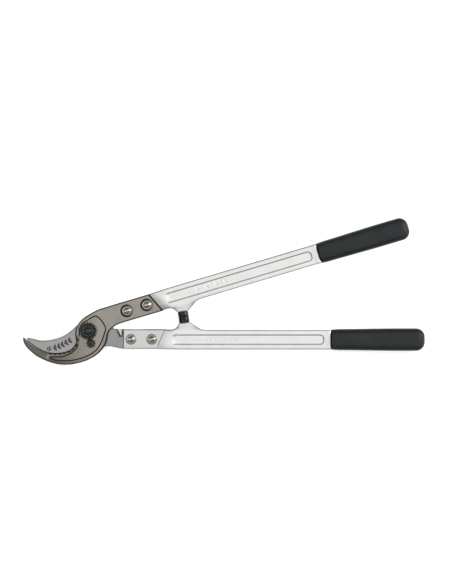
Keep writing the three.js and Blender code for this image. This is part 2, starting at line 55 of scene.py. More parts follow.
HANDLE_ANGLE = math.radians(8.285)
COS, SIN = math.cos(HANDLE_ANGLE), math.sin(HANDLE_ANGLE)
MID = 13.0  # height of the sliding plane


def levels(node):
    """Levels of the lowest and the highest point of a CAD node, in millimetres."""
    return [corner.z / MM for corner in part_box(node)]


def centre(node):
    """Middle of a CAD node seen from above, in millimetres."""
    low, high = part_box(node)
    return np.array([(low.x + high.x) / 2, (low.y + high.y) / 2]) / MM


BLADE_BOTTOM, BLADE_TOP = levels("cutting_blade")
HOOK_BOTTOM, PLATEAU_TOP = levels("hook_blade")
HOOK_TOP = PLATEAU_TOP - 1.5  # of the steel round the raised land
PIVOT_CLEAR = 7.3  # radius of the pivot's hole in both plates
PINION = centre("lock_pinion")


# ---- curves in the plane
def resample(points, spacing):
    """The polyline again, with evenly spaced points and the same ends."""
    steps = np.linalg.norm(np.diff(points, axis=0), axis=1)
    along = np.concatenate([[0], np.cumsum(steps)])
    count = max(1, round(along[-1] / spacing))
    wanted = np.linspace(0, along[-1], count + 1)
    return np.column_stack([np.interp(wanted, along, points[:, k]) for k in (0, 1)])


def smooth(points, spacing):
    """A smooth curve through the points, evenly divided."""
    p = np.array(points, float)
    last = len(p) - 1
    dense = []
    for i in range(last):
        start, end = p[i], p[i + 1]
        leaving = (end - p[max(i - 1, 0)]) / 2
        arriving = (p[min(i + 2, last)] - start) / 2
        for u in np.linspace(0, 1, 24, endpoint=False):
            cubic = (2 * start - 2 * end + leaving + arriving) * u**3
            square = (3 * end - 3 * start - 2 * leaving - arriving) * u**2
            dense.append(cubic + square + leaving * u + start)
    return resample(np.array([*dense, p[last]]), spacing)


def outline(start, *runs, spacing):
    """A closed outline: a run of one point is a straight edge, and more are a smooth curve."""
    points = np.array([start], float)
    for run in [*runs, [start]]:
        if len(run) > 1:
            points = np.vstack([points, smooth([points[-1], *run], spacing)[1:]])
        elif not np.allclose(points[-1], run[0]):
            points = np.vstack([points, resample(np.array([points[-1], run[0]], float), spacing)[1:]])
    return points[:-1]


def circle(at, radius, count=64):
    angle = np.linspace(0, 2 * math.pi, count, endpoint=False)
    return np.array(at) + radius * np.column_stack([np.cos(angle), np.sin(angle)])


def polygon(at, radius, sides, turn=0.0, spacing=0.8):
    corners = circle((0, 0), radius, sides)
    c, s = math.cos(turn), math.sin(turn)
    corners = np.array(at) + corners @ np.array([[c, s], [-s, c]])
    return outline(corners[0], *[[q] for q in corners[1:]], spacing=spacing)


def normals(line, closed=True):
    """Unit normals of a polyline, to the left of its direction."""
    if closed:
        ahead, behind = np.roll(line, -1, axis=0), np.roll(line, 1, axis=0)
    else:
        ahead, behind = np.vstack([line[1:], line[-1:]]), np.vstack([line[:1], line[:-1]])
    along = ahead - behind
    along /= np.maximum(np.linalg.norm(along, axis=1, keepdims=True), 1e-9)
    return np.column_stack([-along[:, 1], along[:, 0]])


def by_parts(points, measure):
    """What measure gives for the points, worked out for 2000 of them at a time."""
    return np.concatenate([measure(points[i : i + 2000]) for i in range(0, len(points), 2000)])


def distance(points, line, closed=True):
    """Distance of each point to a polyline."""
    start = line if closed else line[:-1]
    span = (np.roll(line, -1, axis=0) if closed else line[1:]) - start
    length2 = np.maximum((span**2).sum(1), 1e-12)

    def measure(part):
        p = part[:, None]
        u = np.clip(((p - start) * span).sum(2) / length2, 0, 1)
        return np.sqrt(((start + u[..., None] * span - p) ** 2).sum(2)).min(1)

    return by_parts(points, measure)


def inside(points, loop):
    """Whether each point is inside a closed outline."""
    (ax, ay), (bx, by) = loop.T, np.roll(loop, -1, axis=0).T
    rise = np.where(by == ay, 1e-12, by - ay)

    def measure(part):
        x, y = part[:, 0, None], part[:, 1, None]
        crosses = (ay > y) != (by > y)
        return (crosses & (x < ax + (y - ay) * (bx - ax) / rise)).sum(1) % 2 == 1

    return by_parts(points, measure)


def signed(points, loop):
    """Distance to a closed outline, positive inside it."""
    return np.where(inside(points, loop), 1, -1) * distance(points, loop)


def away(points, at=(0, 0)):
    """Distance of each point to one place."""
    return np.linalg.norm(points - at, axis=1)


def ramp(value, low, high):
    """0 below low and 1 above high, with a smooth step between them."""
    u = np.clip((value - low) / (high - low), 0, 1)
    return u * u * (3 - 2 * u)


def fade(value, low, high):
    return 1 - ramp(value, low, high)


def darkest(*shades):
    """The greatest of several shades at each point."""
    return functools.reduce(np.maximum, shades)


def rounding(depth, radius):
    """How far a rounded edge lies under its face, at a distance in from the outline."""
    inward = np.clip(depth, 0, radius)
    return radius - np.sqrt(np.maximum(radius**2 - (radius - inward) ** 2, 0))


# ---- meshes
def make_piece(name, vertices, faces, body, node, slot, sharp=32, attributes=None):
    """A piece from millimetre vertices that rides on a body and stands for a CAD node."""
    mesh = bpy.data.meshes.new(name)
    mesh.from_pydata((np.asarray(vertices, float) * MM).tolist(), [], faces)
    mesh.validate()
    mesh.shade_smooth()
    mesh.set_sharp_from_angle(angle=math.radians(sharp))
    for key, values in (attributes or {}).items():
        made = mesh.attributes.new(key, "FLOAT", "POINT")
        made.data.foreach_set("value", np.asarray(values, np.float32))
    piece = bpy.data.objects.new(name, mesh)
    bpy.context.scene.collection.objects.link(piece)
    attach(piece, body)
    if node:
        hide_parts(node)
    mesh.materials.append(MATERIALS[slot]())
    return piece


def within(points, loops):
    """Whether each point is inside the first outline and outside the holes that follow it."""
    kept = inside(points, loops[0])
    for hole in loops[1:]:
        kept &= ~inside(points, hole)
    return kept


def relief_mesh(loops, lines, top, bottom, fill):
    """Vertices and faces of a plate with shaped faces, and its points in the plane.

    loops are the outline and its holes, and lines are more polylines that the mesh follows, with
    whether each is closed. top and bottom give the heights at an array of points.
    """
    row_step, clear_of_lines = 0.866, 0.55  # as shares of the spacing of the points that fill it
    points, edges = [], []
    for line, closed in [(loop, True) for loop in loops] + lines:
        first = len(points)
        points.extend(map(tuple, line))
        count = len(line)
        edges += [(first + k, first + (k + 1) % count) for k in range(count - (not closed))]
    fixed = np.array(points)
    (x0, y0), (x1, y1) = loops[0].min(0), loops[0].max(0)
    rows = np.arange(y0, y1, fill * row_step)
    grid = np.array([
        (x + (fill / 2 if k % 2 else 0), y)
        for k, y in enumerate(rows)
        for x in np.arange(x0, x1, fill)
    ])
    grid = grid[within(grid, loops)]
    near = by_parts(grid, lambda p: np.sqrt(((p[:, None] - fixed) ** 2).sum(2)).min(1))
    points.extend(map(tuple, grid[near > fill * clear_of_lines]))
    made = delaunay_2d_cdt([Vector(p) for p in points], edges, [], 0, 1e-5)
    flat = np.array([tuple(v) for v in made[0]])
    triangles = np.array([f for f in made[2] if len(f) == 3])
    triangles = triangles[within(flat[triangles].mean(1), loops)]
    a, b, c = (flat[triangles[:, k]] for k in range(3))
    turn = (b[:, 0] - a[:, 0]) * (c[:, 1] - a[:, 1]) - (b[:, 1] - a[:, 1]) * (c[:, 0] - a[:, 0])
    triangles[turn < 0] = triangles[turn < 0][:, ::-1]
    triangles = triangles[np.abs(turn) > 1e-9]
    used, triangles = np.unique(triangles, return_inverse=True)
    triangles = triangles.reshape(-1, 3)
    flat = flat[used]
    count = len(flat)
    vertices = np.vstack([np.column_stack([flat, face(flat)]) for face in (top, bottom)])
    faces = triangles.tolist() + (triangles[:, ::-1] + count).tolist()
    directed = {(t[k], t[(k + 1) % 3]) for t in triangles.tolist() for k in range(3)}
    faces += [[p, p + count, q + count, q] for p, q in directed if (q, p) not in directed]
    return vertices, faces, flat


def flat_at(height):
    """A face of relief_mesh that is flat."""
    return lambda points: np.full(len(points), height)


def relief_piece(name, body, node, slot, sharp, relief, key, shade):
    """A piece from what relief_mesh made, with an attribute that is the same on both faces."""
    vertices, faces, flat = relief
    make_piece(name, vertices, faces, body, node, slot, sharp, {key: np.tile(shade(flat), 2)})


def ring_lines(at, radii, count):
    """Circles about one place, as lines for relief_mesh."""
    return [(circle(at, radius, count), True) for radius in radii]


def inner_rings(loop, depths, solid_side=1):
    """Copies of a closed outline at several depths into the solid, for a rounded edge."""
    area = np.sum(loop[:, 0] * np.roll(loop[:, 1], -1) - np.roll(loop[:, 0], -1) * loop[:, 1])
    inward = normals(loop) * (1 if area > 0 else -1) * solid_side
    rings = []
    for depth in depths:
        ring = loop + inward * depth
        clear = distance(ring, loop) > depth * 0.96
        if clear.all():
            rings.append((ring, True))
            continue
        start = 0
        for k in range(len(ring) + 1):
            if k == len(ring) or not clear[k]:
                if k - start > 1:
                    rings.append((ring[start:k], False))
                start = k + 1
    return rings


def lathe(profile, count=72):
    """Vertices and faces of a turned piece about Z, from a closed or axis-to-axis profile."""
    vertices, faces, rows = [], [], []
    for r, z in profile:
        if r < 1e-6:
            rows.append([len(vertices)] * count)
            vertices.append((0, 0, z))
        else:
            rows.append(list(range(len(vertices), len(vertices) + count)))
            vertices += [
                (r * math.cos(2 * math.pi * k / count), r * math.sin(2 * math.pi * k / count), z)
                for k in range(count)
            ]
    if profile[0][0] > 1e-6:
        rows.append(rows[0])
    for low, high in zip(rows, rows[1:]):
        for k in range(count):
            after = (k + 1) % count
            face = list(dict.fromkeys([low[k], low[after], high[after], high[k]]))
            if len(face) > 2:
                faces.append(face)
    return np.array(vertices, float), faces


def arc(at, radius, start, end):
    """Profile points of an arc, by angles in degrees."""
    x, y = at
    angles = np.radians(np.linspace(start, end, 6))
    return [(x + radius * math.cos(a), y + radius * math.sin(a)) for a in angles]


# ---- materials
class Shader:
    """A node material with one Principled shader, built by short calls."""

    def __init__(self, name, colour, roughness, metallic=0.0):
        self.material = bpy.data.materials.new(name)
        self.material.use_nodes = True
        self.tree = self.material.node_tree
        self.bsdf = self.tree.nodes["Principled BSDF"]
        self.set("Base Color", colour)
        self.set("Roughness", roughness)
        self.set("Metallic", metallic)
        self.place = self.node("ShaderNodeTexCoord").outputs["Object"]

    def feed(self, socket, value):
        """Put a number, a colour or the output of another node into a socket."""
        if isinstance(value, (float, int)):
            socket.default_value = value
        elif isinstance(value, tuple):
            socket.default_value = (*value, 1)
        else:
            self.tree.links.new(value, socket)

    def set(self, key, value):
        """Feed a socket of the Principled shader."""
        self.feed(self.bsdf.inputs[key], value)

    def node(self, kind, inputs=None, **settings):
        """A new node with its settings made and its inputs fed."""
        made = self.tree.nodes.new(kind)
        for key, value in settings.items():
            setattr(made, key, value)
        for key, value in (inputs or {}).items():
            self.feed(made.inputs[key], value)
        return made

    def noise(self, size_mm, detail, stretch=(1, 1, 1), turn=0.0):
        """Noise whose features are about size_mm across, stretched by the given factors."""
        mapping = self.node("ShaderNodeMapping", {"Vector": self.place})
        mapping.inputs["Rotation"].default_value = (0, 0, turn)
        mapping.inputs["Scale"].default_value = [1 / (size_mm * MM * k) for k in stretch]
        inputs = {"Scale": 1.0, "Detail": detail, "Vector": mapping.outputs["Vector"]}
        return self.node("ShaderNodeTexNoise", inputs).outputs["Fac"]

    def spread(self, value, out_low, out_high, low=0.3, high=0.7):
        """A value's range from low to high, a noise's usual one, stretched to another range."""
        inputs = {"Value": value, "From Min": low, "From Max": high}
        inputs |= {"To Min": out_low, "To Max": out_high}
        return self.node("ShaderNodeMapRange", inputs).outputs["Result"]

    def mix(self, share, first, second):
        """A colour between two, each a colour or an output."""
        inputs = {0: share, 6: first, 7: second}
        return self.node("ShaderNodeMix", inputs, data_type="RGBA").outputs[2]

    def calculate(self, operation, first, second):
        return self.node("ShaderNodeMath", {0: first, 1: second}, operation=operation).outputs[0]

    def attribute(self, name):
        return self.node("ShaderNodeAttribute", attribute_name=name).outputs["Fac"]

    def edge_wear(self, radius_mm):
        """Where the surface bends sharply, from the difference of a bevelled normal."""
        bevel = self.node("ShaderNodeBevel", {"Radius": radius_mm * MM}, samples=4)
        flat = self.node("ShaderNodeNewGeometry")
        inputs = {0: bevel.outputs["Normal"], 1: flat.outputs["Normal"]}
        dot = self.node("ShaderNodeVectorMath", inputs, operation="DOT_PRODUCT")
        return self.spread(dot.outputs["Value"], 1.0, 0.0, 0.75, 0.99)

    def bump(self, height, depth_mm, strength=1.0):
        inputs = {"Distance": depth_mm * MM, "Strength": strength, "Height": height}
        self.set("Normal", self.node("ShaderNodeBump", inputs).outputs["Normal"])

    def grained(self, noise, smoothest, roughest, depth_mm, strength):
        """A roughness between two values and a bump, both from one noise."""
        self.set("Roughness", self.spread(noise, smoothest, roughest))
        self.bump(noise, depth_mm, strength)


# A dark colour for a darker tone and for painted shade, and a pale one for fresh grinding and painted
# highlights.
DARK_TONE_AND_SHADE, FRESH_STEEL_AND_HIGHLIGHT = (0.020, 0.018, 0.014), (0.86, 0.85, 0.80)


def ground_steel(name, light, dark, roughness, turn):
    """Oiled steel, darkened where its shading attribute is 1 (a darker tone and painted shade) and
    pale at -1 (fresh grinding and a painted highlight).
    """
    made = Shader(name, light, roughness, 1.0)
    cloud = made.spread(made.noise(14, 4), 0, 0.75)
    grain = made.noise(0.9, 3)
    lines = made.noise(0.35, 2, (26, 1, 1), turn)
    tone = made.calculate("ADD", cloud, made.spread(grain, 0, 0.25))
    skin = made.attribute("skin")
    fresh_and_highlight = made.spread(skin, 1, 0, -1, 0)
    steel = made.mix(fresh_and_highlight, made.mix(tone, light, dark), FRESH_STEEL_AND_HIGHLIGHT)
    made.set("Base Color", made.mix(skin, steel, DARK_TONE_AND_SHADE))
    satin = made.spread(lines, roughness - 0.06, roughness + 0.08)
    made.set("Roughness", made.calculate("ADD", satin, made.spread(skin, 0, 0.15, 0, 1)))
    made.bump(made.calculate("ADD", lines, made.calculate("MULTIPLY", grain, 0.6)), 0.012)
    return made.material


def hook_steel():
    return ground_steel("hook_steel", (0.430, 0.398, 0.352), (0.362, 0.334, 0.290), 0.36, 0.5)


def blade_steel():
    return ground_steel("blade_steel", (0.405, 0.403, 0.395), (0.350, 0.348, 0.340), 0.30, 1.1)


def forged_aluminium():
    """Blasted aluminium, darkened by painted shade where its shading attribute is 1."""
    made = Shader("forged_aluminium", (0.80, 0.81, 0.79), 0.42, 1.0)
    cloud = made.spread(made.noise(22, 3), 0, 1)
    clean = made.mix(cloud, (0.905, 0.905, 0.89), (0.85, 0.852, 0.835))
    # The dark colour here is painted shade.
    made.set("Base Color", made.mix(made.attribute("skin"), clean, (0.13, 0.13, 0.12)))
    made.grained(made.noise(0.45, 2), 0.36, 0.50, 0.03, 0.7)
    return made.material


def grip_vinyl():
    """Dark vinyl, darkened by painted shade where "flank" is 1."""
    made = Shader("grip_vinyl", (0.016, 0.018, 0.018), 0.48)
    wear = made.spread(made.noise(30, 3), 0, 1, 0.35)
    clean = made.mix(wear, (0.0235, 0.0285, 0.0300), (0.0300, 0.0360, 0.0380))
    # The darker colour is painted shade on the grip's sides.
    made.set("Base Color", made.mix(made.attribute("flank"), clean, (0.006, 0.007, 0.007)))
    made.grained(made.noise(0.7, 2), 0.40, 0.50, 0.04, 0.6)
    made.set("Specular IOR Level", 0.2)
    return made.material


def bumper_rubber():
    made = Shader("bumper_rubber", (0.0025, 0.0025, 0.0028), 0.3)
    made.grained(made.noise(0.6, 2), 0.12, 0.26, 0.03, 0.6)
    made.set("Specular IOR Level", 0.42)
    return made.material


def black_steel():
    """Blackened steel, paler where "rubbed" is 1 and worn at its edges."""
    made = Shader("black_steel", (0.022, 0.023, 0.022), 0.36, 0.85)
    patches = made.spread(made.noise(2.2, 3), 0.0, 0.35, 0.42, 0.65)
    worn = made.calculate("MULTIPLY", made.edge_wear(0.25), patches)
    black = made.mix(made.attribute("rubbed"), (0.008, 0.008, 0.007), (0.085, 0.093, 0.092))
    made.set("Base Color", made.mix(worn, black, (0.20, 0.19, 0.17)))
    made.grained(made.noise(0.8, 3), 0.28, 0.42, 0.02, 0.6)
    return made.material


def bright_steel():
    made = Shader("bright_steel", (0.50, 0.48, 0.44), 0.2, 1.0)
    cloud = made.spread(made.noise(4, 3), 0, 1, 0.35, 0.65)
    made.set("Base Color", made.mix(cloud, (0.52, 0.49, 0.44), (0.40, 0.375, 0.33)))
    made.grained(made.noise(0.5, 2), 0.16, 0.28, 0.012, 0.7)
    return made.material


MATERIALS = {
    make.__name__: functools.cache(make)
    for make in (
        hook_steel, blade_steel, forged_aluminium, grip_vinyl, bumper_rubber, black_steel,
        bright_steel,
    )
}


# ---- frames of the two levers
def arm(along, across):
    """Where a place in the frame of the hook's handle is in the part's frame."""
    return (along * COS - across * SIN, along * SIN + across * COS)


def mirrored_arm(along, across):
    x, y = arm(along, across)
    return (x, -y)


def to_handle(x, y):
    return (x * COS + y * SIN, y * COS - x * SIN)


def lever_place(vertices, over):
    """Vertices in the frame of a handle, put on the hook's lever, or turned over on the blade's."""
    along, across, up = np.asarray(vertices, float).T
    x, y = arm(along, across)
    if over:
        return np.column_stack([x, -y, MID - up])
    return np.column_stack([x, y, MID + up])


LEVERS = (("hook", "hook_lever", False), ("blade", "blade_lever", True))


# ---- shared outlines
ARM_INNER, ARM_OUTER, PAD_START = -2.9, 27.8, 54
SHOULDER_OUTER, SHOULDER_INNER = 106.0, 119.7
SHOULDER_LEAN = (SHOULDER_INNER - SHOULDER_OUTER) / (ARM_OUTER - ARM_INNER)
SEAM = 0.3  # between each arm plate and the shoulder it butts against
SCREW_STATIONS, SCREW_ACROSS = (66, 98), 12.8
SCREW_CLEAR, COUNTERBORE, PINION_BORE = 4.3, 9.9, 2.3
HOOK_SEAT = 15.2  # level of the counterbores' floor
THROAT_HEEL, HOOK_TIP = (-20.8, -9), (-99.2, 4.2)
THROAT = [
    (-22.2, -16), (-30, -23.6), (-40, -26.5), (-50, -26.7), (-60, -25.3), (-70, -21.4),
    (-80, -15), (-90, -6.1), HOOK_TIP,
]
GULLETS, GULLET_PITCH, GULLET_FIRST = 8, 6.93, 2.6
GULLET_FOOT, GULLET_MOUTH = 0.6, 2.75  # radii at the lower face and at the top


def clamp_holes(place):
    """Where two clamp screws go through a plate, and the outlines of their holes."""
    screws = [np.array(place(station, SCREW_ACROSS)) for station in SCREW_STATIONS]
    return screws, [circle(at, SCREW_CLEAR, 40) for at in screws]


def serrated_throat():
    """The inner edge of the hook from its heel to its tip, and the middles of its gullets."""
    spacing = 0.35
    line = smooth([THROAT_HEEL, *THROAT], spacing)
    along = np.arange(len(line)) * spacing
    inward = normals(line, closed=False)
    cut = np.zeros(len(line))
    middles = []
    for k in range(GULLETS):
        off = along - GULLET_FIRST - k * GULLET_PITCH
        cut = np.maximum(cut, np.sqrt(np.maximum(GULLET_FOOT**2 - off**2, 0)))
        nearest = np.argmin(np.abs(off))
        middles.append(line[nearest] + inward[nearest] * GULLET_FOOT)
    return line + inward * cut[:, None], middles


# ---- hook
def hook_outline(throat):
    """The whole outline, from the points of its throat and on round the outside."""
    rest = outline(
        HOOK_TIP,
        [(-100.6, 4.7), (-101.3, 2), (-101, -3), (-98, -10.4), (-94, -16.1), (-86, -25.1),
         (-78, -31.5), (-66, -38.7), (-54, -43.8), (-42, -46.5), (-28, -47.2), (-14, -45.8),
         (-2, -42.7), (8, -38.2), (18, -30.8), (24, -23.5)],
        [(27.2, -17), (29.2, -10), (32, -4.6), (38, -0.4), (46, 3.4), arm(PAD_START, ARM_INNER)],
        [arm(SHOULDER_INNER - SEAM / 2, ARM_INNER)],
        [arm(SHOULDER_OUTER - SEAM / 2, ARM_OUTER)],
        [arm(PAD_START, ARM_OUTER)],
        [(30, 32.2), (22, 31), (12, 27.8), (2, 23.8), (-6, 19.6), (-14, 12.6), (-19.2, 4),
         (-20.6, -3), THROAT_HEEL],
        spacing=0.9,
    )
    # outline() ends with a straight stretch back to the tip, which the throat replaces.
    end = np.argmin(np.linalg.norm(rest - np.array(THROAT_HEEL), axis=1))
    return np.vstack([throat, rest[1:end]])


def hook_plateau():
    return outline(
        (-67, -31),
        [(-55, -32.7), (-45, -33.5), (-35, -31.9), (-27, -28.2), (-20.4, -22.6), (-15.8, -12),
         (-13.9, -3.3), (-11.9, 5.8), (-6.2, 12.8), (1, 15.9), (8, 19), (14.8, 20.8),
         (20.2, 15.9), (25, 7.2), (26.9, -0.4), (23.8, -7.4), (18, -18.7), (9.7, -28.9),
         (0, -34.8), (-14, -39.1), (-30, -40.7), (-45, -39.3), (-58, -36), (-67, -31)],
        spacing=0.8,
    )


LAND_WALL = 1.2  # width of the sloping side of the raised land
RIB_FALL, TIP_FALL = 1.1, 1.7  # how far the rib sinks to its end, and the whole hook to its tip
LOWEST_GULLET = 0.15  # share of the height that is left at the foot of a gullet


def hook_lines(edge, plateau, screws, gullets):
    """What the hook's mesh follows: roundings, walls and the mouths of the gullets."""
    lines = inner_rings(edge, (0.12, 0.35, 0.65, 1.0, 1.5, 1.9, 2.4))
    lines += inner_rings(plateau, (0.3, 0.8))
    lines += inner_rings(plateau, (LAND_WALL, LAND_WALL + 0.35), -1)
    lines.append((plateau, True))
    for at in screws:
        lines += ring_lines(at, [COUNTERBORE + grow for grow in (-0.06, 0, 0.3)], 72)
    for at in gullets:
        for radius in (GULLET_MOUTH - 0.1, GULLET_MOUTH + 0.1):
            ring = circle(at, radius, 28)
            farthest_out = np.argmax(distance(ring, edge) * ~inside(ring, edge))
            ring = np.roll(ring, -farthest_out, axis=0)
            lines.append((ring[signed(ring, edge) > 0.2], False))
    return lines


def build_hook():
    throat, gullets = serrated_throat()
    edge = hook_outline(throat)
    plateau = hook_plateau()
    screws, bores = clamp_holes(arm)
    joint = np.array([arm(SHOULDER_INNER, ARM_INNER), arm(SHOULDER_OUTER, ARM_OUTER)])

    def from_gullet(p):
        return np.min([away(p, at) for at in gullets], axis=0)

    def top(p):
        land = signed(p, plateau)
        from_throat = distance(p, throat, closed=False)
        z = HOOK_TOP + (PLATEAU_TOP - HOOK_TOP) * np.clip(1 + land / LAND_WALL, 0, 1)
        z -= 0.25 * rounding(np.maximum(land, 0), 0.5) * (land > 0)
        z -= RIB_FALL * ramp(away(p), 26, 78) + TIP_FALL * ramp(-p[:, 0], 62, 104)
        # The throat is ground hollow, and ends in a steep edge above the lower face.
        hollow = 16.4 + 3.2 * np.clip(from_throat / 4.6, 0, 1.4) ** 1.5
        steep = HOOK_BOTTOM + 0.7 + 2.9 * np.clip(from_throat / 0.75, 0, 4)
        z = np.minimum(z, np.minimum(hollow, steep))
        cone = np.clip((from_gullet(p) - GULLET_FOOT) / (GULLET_MOUTH - GULLET_FOOT), 0, 1)
        z = HOOK_BOTTOM + (z - HOOK_BOTTOM) * (LOWEST_GULLET + (1 - LOWEST_GULLET) * cone)
        z -= 0.9 * rounding(distance(p, edge), 0.9) * (from_throat > 1.2)
        for at in screws:
            z = np.where(away(p, at) < COUNTERBORE - 0.03, HOOK_SEAT, z)
        return z

    def skin(p):
        """Painted shade in the corners and on the edges, over a tone that deepens toward the tip."""
        land = signed(p, plateau)
        depth = distance(p, edge)
        from_throat = distance(p, throat, closed=False)
        x, y = p[:, 0], p[:, 1]
        shade = 0.13 + 0.50 * ramp(-x, -15, 75)
        # A darker strip lies between the land and the lower edge.
        strip = (land < -LAND_WALL) * ramp(np.abs(land), LAND_WALL, LAND_WALL + 0.6) * (x < 40)
        shade += 0.16 * strip * fade(depth, 3.5, 6.5) * ramp(-y, 30, 40)
        # The hollow along the throat and the pointed end of the land are pale: fresh grinding with a
        # painted highlight along the throat, and a painted highlight at the land's point.
        wide = 1 - 0.6 * ramp(-x, 62, 70)
        fresh_and_highlight = np.maximum(fade(from_throat / wide, 2.8, 4.6), fade(away(p, plateau[0]), 0.8, 2.6))
        shade -= (0.9 + shade) * fresh_and_highlight
        # Painted shade: the foot of the land's wall is dark, except beside the heel of the throat,
        # and so are the outer edges, the seam at the handle and the gullets.
        seen = 1 - (ramp(-y, 5, 8) * fade(-y, 15, 20) * (x < -12))
        seen *= ramp(x - plateau[0][0], 1, 3)
        outer = 1.4 + 0.5 * ramp(x, 0, 12) * ramp(-y, 4, 12) - 0.9 * (from_throat < depth + 0.01)
        shade = darkest(
            shade,
            0.95 * seen * (land < 0.5) * (land > -LAND_WALL - 0.2),
            0.95 * fade(depth, outer, outer + 0.9),
            0.97 * fade(distance(p, joint, closed=False), 0.9, 1.5),
            0.97 * (from_gullet(p) < GULLET_MOUTH),
        )
        # Painted shadow in each counterbore, deep on the side away from +X and paler toward +X.
        for at in screws:
            right = (x - at[0]) / np.maximum(away(p, at), 1)
            sunk = 0.93 - 0.5 * ramp(right, 0.1, 0.95)
            shade = np.where(away(p, at) < COUNTERBORE + 0.1, sunk, shade)
        return shade

    relief = relief_mesh(
        [edge, circle((0, 0), PIVOT_CLEAR), circle(PINION, PINION_BORE, 28), *bores],
        hook_lines(edge, plateau, screws, gullets), top, flat_at(HOOK_BOTTOM), 2.0,
    )
    relief_piece("hook_forging", "hook_lever", "hook_blade", "hook_steel", 28, relief, "skin", skin)


# ---- cutting blade
BLADE_TIP, BLADE_HEEL = (-96, 3.4), (-20, -19.6)
CUTTING_EDGE = [
    (-27, -26.4), (-36, -30.2), (-47, -31.4), (-58, -30.3), (-68, -26.8), (-78, -20.9),
    (-87, -12.6), (-93, -3.6), BLADE_TIP,
]
BEVEL, POCKET_DEPTH, POCKET_WALL = 9.0, 2.6, 1.2
LEAVES, LEAF_LENGTH, LEAF_HALF_WIDTH, LEAF_TURN = 5, 5.8, 1.45, 0.85


def build_cutting_blade():
    back = outline(
        BLADE_TIP,
        [(-90, 2), (-82, -1.3), (-74, -4), (-62, -5.2), (-50, -4.4), (-42, -2.8), (-34, 0.1),
         (-26, 4.4), (-17, 10.4), (-8, 14.6), (2, 15.6), (12, 12.6), (20, 6.6), (30, 2.2),
         (37.6, 0.4)],
        [(40.8, -2.6), (46, -3.5), mirrored_arm(PAD_START, ARM_INNER)],
        [mirrored_arm(SHOULDER_INNER - SEAM / 2, ARM_INNER)],
        [mirrored_arm(SHOULDER_OUTER - SEAM / 2, ARM_OUTER)],
        [mirrored_arm(PAD_START, ARM_OUTER)],
        [(42, -32.6), (34, -29.5), (27, -27.6), (20, -27.6), (8, -24.2), (-8, -20.4), BLADE_HEEL],
        CUTTING_EDGE,
        spacing=0.8,
    )
    cutting = smooth([BLADE_HEEL, *CUTTING_EDGE], 0.8)
    pocket = outline(
        (43.8, -1.6), [(46.6, -12.6)], [(47.3, -14.5), (48.6, -15.1), (50.2, -15), (51, -13)],
        [(53.3, -1.6)],
        spacing=0.5,
    )
    screws, bores = clamp_holes(mirrored_arm)
    lines = inner_rings(back, (0.15, 0.45, 0.8)) + inner_rings(back, (BEVEL,))
    lines += [(pocket, True)] + inner_rings(pocket, (0.6, POCKET_WALL))
    lines += inner_rings(pocket, (0.4,), -1)

    def top(p):
        sunk = ramp(signed(p, pocket), 0, POCKET_WALL)
        return BLADE_TOP - 0.6 * rounding(distance(p, back), 0.6) - POCKET_DEPTH * sunk

    def bottom(p):
        from_edge = distance(p, cutting, closed=False)
        ground = (BLADE_TOP - 0.35 - BLADE_BOTTOM) * np.clip(1 - from_edge / BEVEL, 0, 1)
        return BLADE_BOTTOM + np.maximum(ground, 0.5 * rounding(distance(p, back), 0.5))

    def skin(p):
        """A tang that is darker than the blade, painted shade on the edges and the pocket's walls,
        and a painted reflection that makes the pocket's floor pale.
        """
        tang = 0.04 + 0.12 * ramp(p[:, 0], 10, 34)
        rim = 0.42 * fade(distance(p, back), 0.8, 1.6)
        sunk = signed(p, pocket)
        # Painted shade on the edges and on the pocket's walls.
        shade = darkest(tang, rim, 0.96 * (np.abs(sunk - 0.3) < 0.8))
        # A painted reflection makes the pocket's floor pale.
        return np.where(sunk > 1.1, -0.45, shade)

    relief = relief_mesh([back, circle((0, 0), PIVOT_CLEAR), *bores], lines, top, bottom, 2.0)
    relief_piece("ground_blade", "blade_lever", "cutting_blade", "blade_steel", 28, relief, "skin",
                 skin)


def leaf(root, direction, length, half_width):
    """A pointed leaf that grows from close to root in the given direction."""
    u = np.linspace(0, math.pi, 12)
    axis = np.array([math.cos(direction), math.sin(direction)])
    swell = np.array([-axis[1], axis[0]]) * (half_width * np.sin(u))[:, None]
    rib = np.array(root) + axis * (0.3 + length * (1 - np.cos(u)) / 2)[:, None]
    return np.vstack([rib - swell, (rib + swell)[::-1][1:-1]])


def build_blade_mark():
    """A twig with leaves and a ring before it, etched on the flat of the blade."""
    stem = smooth([(-58, -18.6), (-50, -17.6), (-39, -14), (-27.5, -9.4)], 0.5)
    side = normals(stem, closed=False) * 0.5
    patches = [np.vstack([stem - side, (stem + side)[::-1]])]
    for k in range(LEAVES):
        at = int((0.05 + k / LEAVES) * (len(stem) - 1))
        heading = math.atan2(-side[at][0], side[at][1])
        for turn in (LEAF_TURN, -LEAF_TURN):
            patches.append(leaf(stem[at], heading + turn, LEAF_LENGTH, LEAF_HALF_WIDTH))
    middle = np.array([-63.8, -18.4])
    for k in range(3):
        sector = circle((0, 0), 1, 48)[16 * k : 16 * k + 15]
        patches.append(np.vstack([middle + 3.6 * sector, (middle + 2.2 * sector)[::-1]]))
    patches.append(circle(middle, 1.4, 20))
    vertices, faces = [], []
    for loop in patches:
        first, count = len(vertices), len(loop)
        for z in (BLADE_TOP + 0.03, BLADE_TOP - 0.2):
            vertices.extend((x, y, z) for x, y in loop)
        faces.append(list(range(first, first + count)))
        faces.append(list(range(first + 2 * count - 1, first + count - 1, -1)))
        for k in range(count):
            a, b = first + k, first + (k + 1) % count
            faces.append([a, a + count, b + count, b])
    piece = make_piece("blade_mark", vertices, faces, "blade_lever", None, "blade_steel")
    etched = Shader("etched_mark", (0.055, 0.054, 0.052), 0.5, 0.6)
    etched.set("Roughness", etched.spread(etched.noise(0.5, 2), 0.45, 0.65))
    piece.data.materials[0] = etched.material


